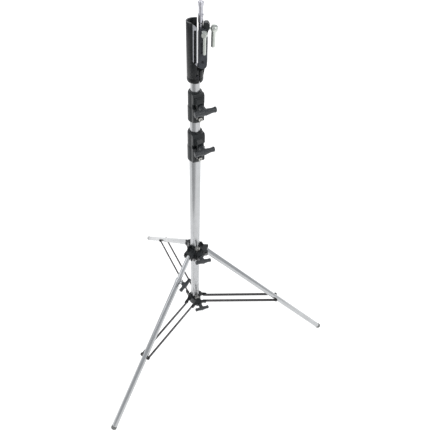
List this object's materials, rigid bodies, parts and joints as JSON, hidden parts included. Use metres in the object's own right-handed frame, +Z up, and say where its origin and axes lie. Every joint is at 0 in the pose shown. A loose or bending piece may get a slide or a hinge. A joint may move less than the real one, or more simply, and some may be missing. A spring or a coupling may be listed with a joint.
{
  "type": "lighting stand",
  "caption": "Telescopic lighting stand: tripod base with flat braces and one levelling leg, clamp collars, and a swivel head with a short rod ending in a stud.",
  "frame": {"origin": "on the floor, in the middle of the footprint's bounding box", "axes": "+Z up along the column; +X along leg 2, the way the head opens and the rod tilts"},
  "size_m": [0.9082, 1.0452, 1.38],
  "materials": {
    "tube": "bright satin chrome",
    "black_casting": "semi-gloss black powder coat",
    "black_gloss": "glossy black coat",
    "bracket_grey": "dark grey satin coat",
    "black_bar": "satin black coat on flat steel",
    "knob": "satin black, moulded",
    "zinc": "bright zinc plate",
    "stud": "turned and plated",
    "lever": "plated die casting",
    "flat": "milled, satin",
    "dark_steel": "blackened",
    "foot": "grey, matt",
    "bush": "natural nylon",
    "plug": "black, moulded"
  },
  "bodies": {
    "column": {"column_tube": "tube", "column_end_plug": "plug", "lower_spider": "black_casting", "lower_clamp_shoe": "zinc", "base_collar": "black_casting", "base_collar_shoe": "zinc", "base_collar_bolt": "zinc", "brace_rivet_1_left": "zinc", "brace_rivet_1_right": "zinc", "brace_rivet_2_left": "zinc", "brace_rivet_2_right": "zinc", "brace_rivet_3_left": "zinc", "brace_rivet_3_right": "zinc"},
    "lower_knob": {"lower_spider_knob": "knob"},
    "base_knob": {"base_collar_knob": "knob"},
    "spider": {"upper_spider": "black_casting", "upper_clamp_shoe": "zinc", "leg_pin_1": "zinc", "leg_pin_2": "zinc", "leg_pin_3": "zinc"},
    "upper_knob": {"upper_spider_knob": "knob"},
    "leg_1_bar": {"levelling_bar": "tube"},
    "leg_1_tube": {"leg_tube_1": "tube", "levelling_clamp": "zinc", "foot_plug_1": "foot", "brace_bolt_1": "zinc"},
    "level_knob": {"levelling_knob": "knob"},
    "leg_2": {"leg_tube_2": "tube", "foot_plug_2": "foot", "brace_bolt_2": "zinc"},
    "leg_3": {"leg_tube_3": "tube", "foot_plug_3": "foot", "brace_bolt_3": "zinc"},
    "brace_1": {"brace_bar_1_left": "black_bar", "brace_bar_1_right": "black_bar"},
    "brace_2": {"brace_bar_2_left": "black_bar", "brace_bar_2_right": "black_bar"},
    "brace_3": {"brace_bar_3_left": "black_bar", "brace_bar_3_right": "black_bar"},
    "riser": {"riser_tube": "tube", "riser_foot_bush": "bush", "riser_collar": "black_casting", "riser_collar_shoe": "zinc", "riser_collar_bolt": "zinc"},
    "riser_knob": {"riser_collar_knob": "knob"},
    "top": {"top_tube": "tube", "top_foot_bush": "bush", "head_housing": "black_gloss", "slot_plate": "flat", "head_clamp_screw": "dark_steel", "boom_pivot_pin": "dark_steel"},
    "bracket": {"boom_bracket": "bracket_grey", "rod_clamp_jaw": "black_casting"},
    "rod": {"boom_rod": "stud"},
    "tilt_lever": {"tilt_lever": "lever", "tilt_lever_screw": "lever"},
    "rod_lever": {"rod_lever": "lever", "rod_lever_screw": "lever"}
  },
  "joints": [
    {"name": "fold", "type": "slide", "parent": "column", "child": "spider", "axis": [0, 0, 1], "range_m": [0, 0.395]},
    {"name": "leg_1_fold", "type": "hinge", "parent": "spider", "child": "leg_1_bar", "pos_m": [-0.1687, -0.03776, 0.5323], "axis": [0.866, -0.5, 0], "range_deg": [0, 35.5]},
    {"name": "leg_2_fold", "type": "hinge", "parent": "spider", "child": "leg_2", "pos_m": [-0.1033, 0, 0.5323], "axis": [0, 1, 0], "range_deg": [0, 35.5]},
    {"name": "leg_3_fold", "type": "hinge", "parent": "spider", "child": "leg_3", "pos_m": [-0.1687, 0.03776, 0.5323], "axis": [-0.866, -0.5, 0], "range_deg": [0, 35.5]},
    {"name": "brace_1_fold", "type": "hinge", "parent": "column", "child": "brace_1", "pos_m": [-0.16707, -0.03494, 0.2007], "axis": [-0.866, 0.5, 0], "range_deg": [0, 68.2]},
    {"name": "brace_2_fold", "type": "hinge", "parent": "column", "child": "brace_2", "pos_m": [-0.10655, 0, 0.2007], "axis": [0, -1, 0], "range_deg": [0, 68.2]},
    {"name": "brace_3_fold", "type": "hinge", "parent": "column", "child": "brace_3", "pos_m": [-0.16707, 0.03494, 0.2007], "axis": [0.866, 0.5, 0], "range_deg": [0, 68.2]},
    {"name": "levelling_slide", "type": "slide", "parent": "leg_1_bar", "child": "leg_1_tube", "axis": [-0.3616, -0.6263, -0.6906], "range_m": [0, 0.06]},
    {"name": "levelling_knob_turn", "type": "hinge", "parent": "leg_1_tube", "child": "level_knob", "pos_m": [-0.20558, -0.10164, 0.46186], "axis": [0.866, -0.5, 0], "continuous": true},
    {"name": "upper_knob_turn", "type": "hinge", "parent": "spider", "child": "upper_knob", "pos_m": [-0.1169, -0.05196, 0.537], "axis": [0.5, -0.866, 0], "continuous": true},
    {"name": "lower_knob_turn", "type": "hinge", "parent": "column", "child": "lower_knob", "pos_m": [-0.1169, -0.05196, 0.207], "axis": [0.5, -0.866, 0], "continuous": true},
    {"name": "base_knob_turn", "type": "hinge", "parent": "column", "child": "base_knob", "pos_m": [-0.1169, -0.05196, 1.02076], "axis": [0.5, -0.866, 0], "continuous": true},
    {"name": "riser_knob_turn", "type": "hinge", "parent": "riser", "child": "riser_knob", "pos_m": [-0.1169, -0.05196, 1.1427], "axis": [0.5, -0.866, 0], "continuous": true},
    {"name": "riser_slide", "type": "slide", "parent": "column", "child": "riser", "axis": [0, 0, 1], "range_m": [0, 0.68]},
    {"name": "top_slide", "type": "slide", "parent": "riser", "child": "top", "axis": [0, 0, 1], "range_m": [0, 0.75]},
    {"name": "boom_tilt", "type": "hinge", "parent": "top", "child": "bracket", "pos_m": [-0.1281, 0, 1.252], "axis": [0, 1, 0], "range_deg": [0, 100]},
    {"name": "rod_slide", "type": "slide", "parent": "bracket", "child": "rod", "axis": [0, 0, 1], "range_m": [0, 0.04]},
    {"name": "tilt_lever_turn", "type": "hinge", "parent": "bracket", "child": "tilt_lever", "pos_m": [-0.1249, -0.022, 1.3185], "axis": [0, -1, 0], "range_deg": [0, 150]},
    {"name": "rod_lever_turn", "type": "hinge", "parent": "bracket", "child": "rod_lever", "pos_m": [-0.1039, 0, 1.3245], "axis": [1, 0, 0], "range_deg": [0, 180]}
  ],
  "couplings": [
    {"joint": "leg_1_fold", "follows": "fold", "rad_per_m": 1.5624},
    {"joint": "leg_2_fold", "follows": "fold", "rad_per_m": 1.5624},
    {"joint": "leg_3_fold", "follows": "fold", "rad_per_m": 1.5624},
    {"joint": "brace_1_fold", "follows": "fold", "rad_per_m": 3.0099},
    {"joint": "brace_2_fold", "follows": "fold", "rad_per_m": 3.0099},
    {"joint": "brace_3_fold", "follows": "fold", "rad_per_m": 3.0099}
  ]
}
